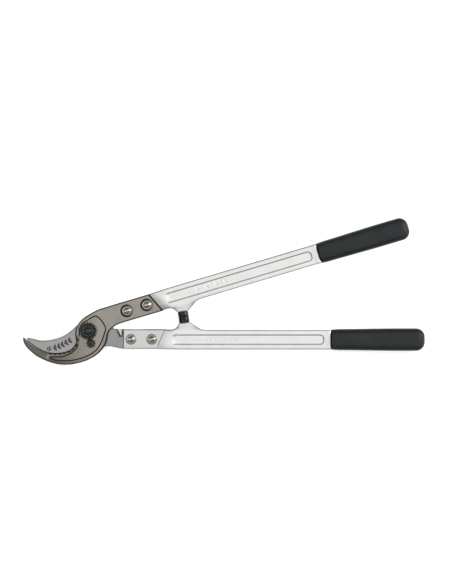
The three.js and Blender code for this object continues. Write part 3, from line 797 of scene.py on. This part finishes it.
# ---- handle
BODY_INNER, BODY_OUTER = -2.2, 28.8
BODY_CENTRE = (BODY_INNER + BODY_OUTER) / 2
BODY_HALF, PAD_FACE, PAD_BACK = 9.5, -0.15, -8.0
NECK_DROP, NECK_LENGTH = 2.6, 14.0
BODY_END = 375.4
PANEL_END, PANEL_HALF, PANEL_DEPTH = 363.8, 7.85, 2.5
SPOTFACE, SPOTFACE_DEPTH = 7.8, 2.4
LUG_FACE = 8.05


def handle_outline():
    return outline(
        (PAD_START, ARM_INNER + 2),
        [(PAD_START + 0.6, ARM_INNER + 0.6), (PAD_START + 2, ARM_INNER)],
        [(104, ARM_INNER)],
        [(112, ARM_INNER + 0.1), (124, BODY_INNER), (129.5, -2.4), (134.4, -4.2), (138, -8.2),
         to_handle(140.4, LUG_FACE + 0.4)],
        [to_handle(140.7, LUG_FACE)],
        [to_handle(156.8, LUG_FACE)],
        [to_handle(157.2, LUG_FACE + 0.4)],
        [(165.4, -8.9), (171, -5.2), (176, -2.9), (184, BODY_INNER)],
        [(BODY_END, BODY_INNER)],
        [(BODY_END, BODY_OUTER)],
        [(140, BODY_OUTER)],
        [(124, BODY_OUTER - 0.2), (104, ARM_OUTER)],
        [(PAD_START + 2, ARM_OUTER)],
        [(PAD_START + 0.6, ARM_OUTER - 0.6), (PAD_START, ARM_OUTER - 2)],
        spacing=1.3,
    )


def shoulder(p):
    """How far each point is past the slanted shoulder line, along the handle."""
    across = (ARM_OUTER - p[:, 1]) * SHOULDER_LEAN
    return p[:, 0] - (SHOULDER_OUTER + SEAM / 2) - across


PANEL_CORNER = 6.0
PANEL_LINES = (0.3, -0.4, -1.0, -1.7)  # how far the lines along its wall lie outside its edge


def panel_sink(p):
    """Share of the panel's full depth at each point: 1 on its floor and 0 on the rims."""
    s, t = p[:, 0], np.abs(p[:, 1] - BODY_CENTRE)
    ds = s - (PANEL_END - PANEL_CORNER)
    dt = t - (PANEL_HALF - PANEL_CORNER)
    outside = np.hypot(np.maximum(ds, 0), np.maximum(dt, 0)) - PANEL_CORNER
    inner = np.minimum(np.maximum(ds, dt), 0)
    edge = -(outside + inner)
    bowed = 125.5 + 1.4 * (t / PANEL_HALF) ** 2
    return ramp(edge, -0.3, 1.7) * ramp(s, bowed, bowed + 13)


MARKS, MARK_FIRST, MARK_PITCH, MARK_HEIGHT = 9, 169.0, 7.4, 0.5
MARK_HALF, LOZENGE_HALF, BAR_HALF = 3.4, 3, 0.8


def mark_height(p):
    """Raised lozenges and bars on the floor of the panel."""
    height = np.zeros(len(p))
    for k in range(MARKS):
        s = np.abs(p[:, 0] - MARK_FIRST - k * MARK_PITCH)
        t = np.abs(p[:, 1] - BODY_CENTRE)
        lozenge = 2.0 * (1 - (s / LOZENGE_HALF + t / MARK_HALF))
        bar = np.minimum(1 - s / BAR_HALF, (MARK_HALF - t) / BAR_HALF)
        shape = bar if k % 2 else lozenge
        height = np.maximum(height, MARK_HEIGHT * np.clip(shape * 2.2, 0, 1))
    return height


def handle_lines(edge, screws):
    """What the handle's mesh follows: roundings, spotfaces, shoulder, panel and marks."""
    lines = inner_rings(edge, (0.18, 0.55, 1.1, 1.8, 2.6))
    for at in screws:
        lines += ring_lines(at, [SPOTFACE + grow for grow in (-0.6, -0.06, 0, 0.35, 0.6, 1.0)], 72)
    t = np.linspace(ARM_INNER - 4, BODY_OUTER + 4, 30)
    for shift in (-1.8, -1.1, -0.4, -0.06, 0, 0.35, 0.9):
        s = SHOULDER_OUTER + SEAM / 2 + (ARM_OUTER - t) * SHOULDER_LEAN + shift
        lines.append((np.column_stack([s, t]), False))
    s = np.arange(126.5, PANEL_END - PANEL_CORNER, 1.4)
    for side in (-1, 1):
        for grow in PANEL_LINES:
            t = np.full(len(s), BODY_CENTRE + side * (PANEL_HALF + grow))
            lines.append((np.column_stack([s, t]), False))
    angle = np.linspace(-math.pi / 2, math.pi / 2, 25)
    for grow in PANEL_LINES:
        corner = np.column_stack([np.cos(angle), np.sin(angle)]) * (PANEL_CORNER + grow)
        corner[:, 0] += PANEL_END - PANEL_CORNER
        corner[:, 1] += BODY_CENTRE + np.sign(corner[:, 1]) * (PANEL_HALF - PANEL_CORNER)
        lines.append((corner, False))
    for k in range(MARKS):
        for inset in (0, 0.4):
            w, h = BAR_HALF - inset * 0.9, MARK_HALF - inset
            shape = np.array([(-w, -h), (w, -h), (w, h), (-w, h)])
            if k % 2 == 0:
                w, h = LOZENGE_HALF, MARK_HALF
                shape = np.array([(w, 0), (0, h), (-w, 0), (0, -h)]) * (1 - 0.55 * inset)
            lines.append((shape + (MARK_FIRST + k * MARK_PITCH, BODY_CENTRE), True))
    return lines


def build_handles():
    edge = handle_outline()
    screws, bores = clamp_holes(lambda *at: at)

    def face(p, steel_side):
        """Height of one face over the sliding plane, counted outwards on either side."""
        past = shoulder(p)
        s, t = p[:, 0], p[:, 1]
        body = BODY_HALF - 0.8 * ramp(-t, 1.0, 9.0) - 0.8 * ramp(s, 371.6, BODY_END)
        body -= PANEL_DEPTH * panel_sink(p) - mark_height(p)
        body -= 0.02 * np.clip(np.abs(t - BODY_CENTRE) - 9, 0, 6) ** 1.5 * ramp(s, 120, 150)
        depth = distance(p, edge)
        body -= 1.2 * fade(depth, 0, 9) * np.maximum(ramp(-t, 0.5, 6), fade(s, 126, 140))
        round_off = rounding(depth, 2.4)
        if steel_side:
            fall = np.clip(1 - past / NECK_LENGTH, 0, 1)
            body -= NECK_DROP * np.where(fall < 0.2, fall**2 / 0.4, fall - 0.1)
            body -= rounding(past, 0.4)
            return np.where(past > -0.03, body - round_off, PAD_FACE)
        return -PAD_BACK + (body + PAD_BACK) * ramp(past, -1.8, -0.4) - round_off

    def bottom(p):
        height = face(p, False)
        for at in screws:
            sunk = away(p, at) < SPOTFACE - 0.03
            height = np.where(sunk, -PAD_BACK - SPOTFACE_DEPTH, height)
        return -height

    def skin(p, steel_side, over):
        """Painted shade on the edges, corners and walls, deeper on the side of each that faces away
        from -Y.
        """
        past = shoulder(p)
        s, t = p[:, 0], p[:, 1]
        rise = s * SIN + t * COS - LUG_FACE
        shaded_side = np.sign(t - BODY_CENTRE) * (-1 if over else 1)
        rim = np.where((t < -1) & (s > 150), 0.38, 0.60 + 0.14 * shaded_side)
        wall = ramp(panel_sink(p), 0.03, 0.3) * fade(panel_sink(p), 0.75, 0.98)
        raised = mark_height(p) / MARK_HEIGHT
        # Painted shade, in order: edges, a crease by the grip, the seam at the shoulder, the panel's
        # walls, the sides of the marks and the neck.
        shade = darkest(
            rim * ramp(rise, 1.0, 2.2) * fade(distance(p, edge), 0.9, 1.9),
            0.09 * ramp(s, 364, 366) * fade(s, 370, 372),
            (0.95 if steel_side else 0.14) * fade(np.abs(past), 0.5, 1.1),
            (0.27 + 0.11 * shaded_side) * wall * ramp(s, 134, 144),
            0.55 * (raised > 0.02) * (raised < 0.9),
            (0.56 if steel_side else 0.25) * fade(past, -1, 18),
        )
        # Painted shadow in a ring round each screw head.
        for at in screws:
            shade = np.maximum(shade, 0.8 * (np.abs(away(p, at) - SPOTFACE) < 0.55))
        return shade

    vertices, faces, flat = relief_mesh(
        [edge, *bores], handle_lines(edge, screws), lambda p: face(p, True), bottom, 2.2
    )
    for prefix, body, over in LEVERS:
        shades = np.concatenate([skin(flat, True, over), skin(flat, False, over)])
        make_piece(f"{prefix}_handle_forging", lever_place(vertices, over), faces, body,
                   f"{prefix}_handle", "forged_aluminium", 38, {"skin": shades})


# ---- grips
GRIP_START, GRIP_END, GRIP_HALF = 375.7, 519.3, 13.0
GRIP_MOUTH, GRIP_BELLY, GRIP_CORNER, GRIP_NOSE = 16.3, 17.4, 13.5, 17.0
GRIP_SQUARENESS, TONGUE_SQUARENESS = 2.8, 12
TONGUE_END, TONGUE_HALF_WIDTH, TONGUE_HALF_HEIGHT = 504.4, 12.8, 7.8
MOUTH_LIP = (0.4, 0.18, 0.04)  # how far the first rings are drawn in


def grip_half_width(s):
    swell = GRIP_MOUTH + (GRIP_BELLY - GRIP_MOUTH) * ramp(s, GRIP_START, GRIP_START + 105)
    swell -= 0.6 * fade(s, GRIP_START, GRIP_START + 10)
    past = np.clip(s - (GRIP_END - GRIP_CORNER), 0, GRIP_CORNER)
    return swell - GRIP_CORNER + np.sqrt(np.maximum(GRIP_CORNER**2 - past**2, 0))


def grip_half_height(s):
    past = np.clip((s - (GRIP_END - GRIP_NOSE)) / GRIP_NOSE, 0, 1)
    return GRIP_HALF * (1 - past**GRIP_SQUARENESS) ** (1 / GRIP_SQUARENESS)


def grip_ring(s, half_width, half_height, squareness, count=96):
    """A rounded section of the grip, whose faces are the flatter the greater the squareness."""
    angle = np.linspace(0, 2 * math.pi, count, endpoint=False)
    across, up = np.cos(angle), np.sin(angle)
    power = 2 / squareness
    return np.column_stack([
        np.full(count, s),
        BODY_CENTRE + half_width * np.sign(across) * np.abs(across) ** power,
        half_height * np.sign(up) * np.abs(up) ** power,
    ])


def build_grips():
    """Sleeves that are open at the mouth, down to the aluminium tongue, and closed at the end."""
    stations = [GRIP_START + x for x in (0.0, 0.1, 0.35, 0.8, 3.0, 6.0)]
    stations += list(np.linspace(GRIP_START + 12, GRIP_END - GRIP_NOSE, 20))
    stations += list(GRIP_END - GRIP_NOSE + GRIP_NOSE * np.sin(np.linspace(0.05, 1.55, 30)))
    rings = [
        grip_ring(s, TONGUE_HALF_WIDTH, TONGUE_HALF_HEIGHT, TONGUE_SQUARENESS)
        for s in (TONGUE_END, GRIP_START + 0.3, GRIP_START)
    ]
    for k, s in enumerate(stations):
        pull = MOUTH_LIP[k] if k < len(MOUTH_LIP) else 0
        width, height = grip_half_width(s) - pull, grip_half_height(s) - pull
        rings.append(grip_ring(s, width, height, GRIP_SQUARENESS))
    count = len(rings[0])
    vertices = np.vstack(rings)
    faces = []
    for k in range(len(rings) - 1):
        for i in range(count):
            a, b = k * count + i, k * count + (i + 1) % count
            faces.append([a, b, b + count, a + count])
    faces.append(list(range(count))[::-1])
    faces.append([(len(rings) - 1) * count + i for i in range(count)])
    # Painted shade: a mask that darkens the grip's sides.
    across = (vertices[:, 1] - BODY_CENTRE) / np.maximum(grip_half_width(vertices[:, 0]), 1)
    flank = 0.9 * ramp(np.abs(across), 0.45, 0.98)
    for prefix, body, over in LEVERS:
        make_piece(f"{prefix}_grip_sleeve", lever_place(vertices, over), faces, body,
                   f"{prefix}_grip", "grip_vinyl", 50, {"flank": flank})


# ---- bumpers
BUMPER_PROUD, BUMPER_END, STEM_RADIUS = 0.25, 7.98, 3.2
GROOVE_DEPTH, GROOVE_NEAR, GROOVE_FAR = 0.6, 2.9, 3.5


def build_bumpers():
    """Two grooved buffers that almost touch, with their stems in the lugs."""
    low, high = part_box("hook_bumper")
    radius = (high.x - low.x) / 2 / MM + BUMPER_PROUD
    x, stem_end = (low.x + high.x) / 2 / MM, high.y / MM
    face, corner, heel = 0.03, 0.9, 0.5
    profile = [(0, face), (radius - 1.6, face), (radius - 1.3, face + 0.12)]
    profile += arc((radius - corner, face + corner), corner, -80, 0)
    profile += [(radius, GROOVE_NEAR - 0.4), (radius - GROOVE_DEPTH, GROOVE_NEAR)]
    profile += [(radius - GROOVE_DEPTH, GROOVE_FAR), (radius, GROOVE_FAR + 0.4)]
    profile += arc((radius - heel, BUMPER_END - heel), heel, 0, 90)
    profile += [(STEM_RADIUS, BUMPER_END), (STEM_RADIUS, stem_end), (0, stem_end)]
    vertices, faces = lathe(profile, 64)
    for prefix, body, over in LEVERS:
        out = -1 if over else 1
        placed = np.column_stack([
            vertices[:, 0] + x, out * vertices[:, 2], MID - out * vertices[:, 1]
        ])
        make_piece(f"{prefix}_rubber_buffer", placed, faces, body, f"{prefix}_bumper",
                   "bumper_rubber", 35)


# ---- fasteners
HEAD_RADIUS, HEAD_HEIGHT = 7.4, 3.9
CAP_RADIUS, CAP_DOME, CAP_SOCKET, CAP_SOCKET_DEPTH = 7.15, 2.0, 3.4, 1.1


def clamps(kind):
    """Name, body, middle, lowest and highest level of each of the four screws or nuts."""
    for prefix, body, _ in LEVERS:
        for place in ("front", "rear"):
            node = f"{prefix}_{kind}_{place}"
            yield node, body, centre(node), *levels(node)


def build_screws():
    """Domed heads with a ring and a dimple, over plain shanks."""
    for node, body, at, low, high in clamps("screw"):
        radius, seat = HEAD_RADIUS, high - HEAD_HEIGHT
        profile = [(0, low), (3.4, low), (4, low + 0.6), (4, seat), (radius - 0.4, seat),
                   (radius, seat + 0.4), (radius, seat + 1.1)]
        profile += arc((radius - 0.8, seat + 1.1), 0.8, 10, 62)
        head = ((5.7, 2.35), (5.35, 2.3), (5.1, 2.45), (4.4, 3.1), (3.6, 3.65), (3.1, 3.85),
                (2.75, 3.7), (2.4, 3.1), (2.0, 2.95), (1.5, 3.25), (0.8, 3.5), (0, 3.55))
        vertices, faces = lathe(profile + [(r, seat + rise) for r, rise in head])
        vertices[:, :2] += at
        make_piece(f"{node}_domed", vertices, faces, body, node, "bright_steel", 40)


def build_cap_nut(node, body, at, low, high):
    """A low domed nut with a hexagonal socket in its outer face."""
    hexagon = polygon(at, CAP_SOCKET, 6)

    def bottom(p):
        dome = low + CAP_DOME * np.clip(away(p, at) / CAP_RADIUS, 0, 1) ** 2.6
        return np.where(inside(p, hexagon), low + CAP_SOCKET_DEPTH, dome)

    lines = ring_lines(at, (6.9, 6.2, 5.2, 4.2), 60)
    lines += [(hexagon, True)] + inner_rings(hexagon, (0.08,))
    rim = circle(at, CAP_RADIUS, 72)
    vertices, faces, _ = relief_mesh([rim], lines, flat_at(high), bottom, 1.0)
    make_piece(f"{node}_cap", vertices, faces, body, node, "bright_steel", 30)


# ---- pivot
GEAR_MODULE, PRESSURE_ANGLE, BACKLASH = 1.3, math.radians(25), 0.6
PINION_DIRECTION = math.radians(-85.6)
BOLT_BORE = 5.2  # radius of the holes the bolt goes through


def gear_outline(teeth, root_radius, tip_radius, direction, at=(0, 0)):
    """Outline of a spur gear whose first tooth points in the given direction."""
    pitch = GEAR_MODULE * teeth / 2
    base = pitch * math.cos(PRESSURE_ANGLE)

    def half_angle(radius):
        pressure = math.acos(min(1, base / max(radius, base)))
        at_pitch = (math.pi * GEAR_MODULE - BACKLASH) / (4 * pitch)
        involutes = [math.tan(a) - a for a in (PRESSURE_ANGLE, pressure)]
        return at_pitch + involutes[0] - involutes[1]

    flank = [(r, half_angle(r)) for r in np.linspace(root_radius, tip_radius, 6)]
    root, tip = flank[0][1], flank[-1][1]
    gap = 2 * math.pi / teeth - 2 * root
    tooth = [(r, -a) for r, a in flank]
    tooth += [(tip_radius, -0.3 * tip), (tip_radius, 0.3 * tip)] + flank[::-1]
    points = []
    for k in range(teeth):
        middle = direction + 2 * math.pi * k / teeth
        points += [(r, middle + a) for r, a in tooth]
        points += [(root_radius - 0.12, middle + root + gap * u) for u in (0.35, 0.65)]
    return np.array([(r * math.cos(a) + at[0], r * math.sin(a) + at[1]) for r, a in points])


def build_adjusting_nut():
    """Teeth below, a cone above them, and a collar with a hexagonal recess on top."""
    low, high = levels("adjusting_nut")
    teeth_top, cone_radius, collar_radius, chamfer = low + 3.6, 11.3, 7.75, 0.35
    edge = gear_outline(20, 11.45, 14, PINION_DIRECTION + math.pi / 20)
    recess = polygon((0, 0), 6.4, 6, math.pi / 6)

    def top(p):
        r = away(p)
        z = teeth_top - 0.55 * rounding(distance(p, edge), 0.45)
        z -= 0.35 * np.clip((r - 12.9) / 1.1, 0, 1)
        cone = teeth_top + 0.95 * np.clip((cone_radius - r) / 3.1, 0, 1)
        z = np.where(r < cone_radius, cone, z)
        z = np.where(r < collar_radius, high - rounding(collar_radius - r, 0.45), z)
        depth = signed(p, recess)
        z -= np.where((depth < 0) & (depth > -chamfer), chamfer * (1 + depth / chamfer), 0)
        return np.where(depth >= 0, low + 2.5, z)

    def rubbed(p):
        shade = 0.28 * fade(away(p), 10.6, 11.6) + 0.45 * fade(away(p), 7.7, 7.9)
        return shade * (signed(p, recess) < 0)

    lines = ring_lines((0, 0), (cone_radius, 8.6, 7.81, collar_radius, 7.62, 7.3), 90)
    lines += inner_rings(edge, (0.2, 0.45)) + inner_rings(recess, (0.06,), -1)
    lines += [(recess, True)] + inner_rings(recess, (chamfer,), -1)
    loops = [edge, circle((0, 0), BOLT_BORE, 48)]
    relief_piece("toothed_nut", "nut", "adjusting_nut", "black_steel", 30,
                 relief_mesh(loops, lines, top, flat_at(low), 1.0), "rubbed", rubbed)


def build_lock_pinion():
    """Teeth that hang below a round boss, on a short foot."""
    low, high = levels("lock_pinion")
    boss, foot, step, foot_height = 4.6, 4.4, 0.5, 1.1
    edge = gear_outline(10, 5.1, 7.6, PINION_DIRECTION + math.pi, PINION)

    def top(p):
        z = high - step - 0.5 * rounding(distance(p, edge), 0.4)
        r = away(p, PINION)
        return np.where(r < boss, high - step * ramp(r, 4.2, boss), z)

    def bottom(p):
        return np.where(away(p, PINION) < foot, low, low + foot_height)

    lines = ring_lines(PINION, (boss, 4.45, 4.2, 4.34), 48) + inner_rings(edge, (0.2, 0.4))
    loops = [edge, circle(PINION, PINION_BORE, 32)]
    relief_piece("toothed_pinion", "pinion", "lock_pinion", "black_steel", 30,
                 relief_mesh(loops, lines, top, bottom, 0.8),
                 "rubbed", lambda p: 0.5 * (away(p, PINION) < 4.5))


def build_pinion_screw():
    """A low domed head with a hexagonal socket, over a plain shank."""
    low, high = levels("pinion_screw")
    radius, shank, seat, socket_depth = 3.7, 2.0, high - 2.2, 1.3
    socket = polygon(PINION, 1.75, 6, 0.2, 0.5)

    def top(p):
        share = away(p, PINION) / (radius + 0.05)
        dome = seat + 0.7 + 1.5 * np.sqrt(np.maximum(1 - share**2, 0))
        return np.where(inside(p, socket), high - socket_depth, np.minimum(dome, high))

    def bottom(p):
        return np.where(away(p, PINION) < shank, low, seat)

    lines = ring_lines(PINION, (3.6, 3.35, 2.9, 2.4, 2.05, 1.99), 48)
    lines += [(socket, True)] + inner_rings(socket, (0.07,))
    loops = [circle(PINION, radius, 56)]
    relief_piece("socket_screw", "hook_lever", "pinion_screw", "black_steel", 30,
                 relief_mesh(loops, lines, top, bottom, 0.6),
                 "rubbed", lambda p: 0.9 * (signed(p, socket) < 0))


def build_pivot_bolt():
    """A chamfered hexagon below, and a shank whose domed end shows inside the nut."""
    low, high = levels("pivot_bolt")
    head_top, corner, shank, dome = low + 4.7, 9.8, 4.9, 1.5
    chamfer_start, chamfer_slope = 8.4, 0.55

    def chamfer(p):
        return chamfer_slope * np.clip(away(p) - chamfer_start, 0, 2)

    def top(p):
        r = away(p)
        return np.where(r <= shank + 1e-6, high - dome * (r / shank) ** 2.4, head_top - chamfer(p))

    radii = (shank, shank + 0.05, chamfer_start, chamfer_start - 0.05, 4.6, 4.0, 3.2)
    lines = ring_lines((0, 0), radii, 64)
    loops = [polygon((0, 0), corner, 6, math.pi / 6)]
    relief_piece("hexagon_bolt", "hook_lever", "pivot_bolt", "black_steel", 30,
                 relief_mesh(loops, lines, top, lambda p: low + chamfer(p), 1.2),
                 "rubbed", lambda p: 0.65 * (away(p) < shank + 0.01))


def build_washers():
    """The washer under the nut, the coned spring under the blade, and the bearing sleeve."""
    low, high = levels("nut_washer")
    washer = [(BOLT_BORE, low), (10.7, low), (11, low + 0.25), (11, high - 0.25), (10.7, high),
              (BOLT_BORE, high)]
    low, high = levels("disc_spring")
    thick = 1.3
    spring = [(5.4, high - thick), (9.3, low), (9.4, low + 0.15), (9.4, low + thick), (5.5, high),
              (5.4, high - 0.1)]
    low, high = levels("pivot_bush")
    sleeve = [(BOLT_BORE, low), (7, low), (7, high), (BOLT_BORE, high)]
    for name, node, profile in (("plain_washer", "nut_washer", washer),
                                ("coned_spring", "disc_spring", spring),
                                ("bearing_sleeve", "pivot_bush", sleeve)):
        vertices, faces = lathe(profile)
        make_piece(name, vertices, faces, "hook_lever", node, "bright_steel", 30)


# ---- studio
def build_studio():
    """A pale floor, a soft sky that is bright overhead, a key from the right, and the camera."""
    bpy.ops.mesh.primitive_plane_add(size=12, location=(0.2, 0.03, -0.0006))
    floor = bpy.context.object
    floor.name = "floor"
    paper = Shader("paper", (0.9, 0.9, 0.9), 0.9)
    paper.set("Emission Color", (1, 1, 1))
    paper.set("Emission Strength", 0.62)
    floor.data.materials.append(paper.material)

    world = bpy.data.worlds.new("studio")
    world.use_nodes = True
    scene = bpy.context.scene
    scene.world = world
    tree = world.node_tree
    place, split, sky = map(tree.nodes.new, ("ShaderNodeTexCoord", "ShaderNodeSeparateXYZ",
                                             "ShaderNodeValToRGB"))
    background = tree.nodes["Background"]
    tree.links.new(place.outputs["Generated"], split.inputs["Vector"])
    tree.links.new(split.outputs["Z"], sky.inputs["Fac"])
    tree.links.new(sky.outputs["Color"], background.inputs["Color"])
    background.inputs["Strength"].default_value = 1.0
    stops = ((0.0, 0.16), (0.35, 0.16), (0.62, 0.32), (0.82, 0.68), (0.94, 0.97), (1.0, 1.0))
    while len(sky.color_ramp.elements) < len(stops):
        sky.color_ramp.elements.new(0.5)
    for element, (position, value) in zip(sky.color_ramp.elements, stops):
        element.position = position
        element.color = (value, value, value, 1)

    aim, right, up = Vector((0.2, 0.03, 0)), Vector((COS, -SIN, 0)), Vector((SIN, COS, 0))
    lamps = (
        ("key", right * 1.8 + up * 0.55 + Vector((0, 0, 1.2)), 0.8, 22),
        ("fill", right * -1.6 + up * 0.2 + Vector((0, 0, 1.9)), 1.4, 5),
    )
    for name, offset, size, power in lamps:
        data = bpy.data.lights.new(name, "AREA")
        data.size = size
        data.energy = power
        lamp = bpy.data.objects.new(name, data)
        lamp.location = aim + offset
        lamp.rotation_mode = "QUATERNION"
        lamp.rotation_quaternion = (-offset).to_track_quat("-Z", "Y")
        scene.collection.objects.link(lamp)

    scene.view_settings.view_transform = "Standard"
    scene.view_settings.look = "None"
    data = bpy.data.cameras.new("camera")
    data.lens = 200
    data.sensor_width = 36
    camera = bpy.data.objects.new("camera", data)
    seen_height = 0.9009  # of the floor, over the long side of the picture
    height = seen_height * data.lens / data.sensor_width
    middle = Vector((0.2190, 0.0289, 0.016)) + Vector((0, 0, height))
    turned = Matrix((right, up, (0, 0, 1))).transposed().to_4x4()
    camera.matrix_world = Matrix.Translation(middle) @ turned
    scene.collection.objects.link(camera)
    scene.camera = camera


build_studio()
build_hook()
build_cutting_blade()
build_blade_mark()
build_handles()
build_grips()
build_bumpers()
build_screws()
for nut in clamps("nut"):
    build_cap_nut(*nut)
build_adjusting_nut()
build_lock_pinion()
build_pinion_screw()
build_pivot_bolt()
build_washers()
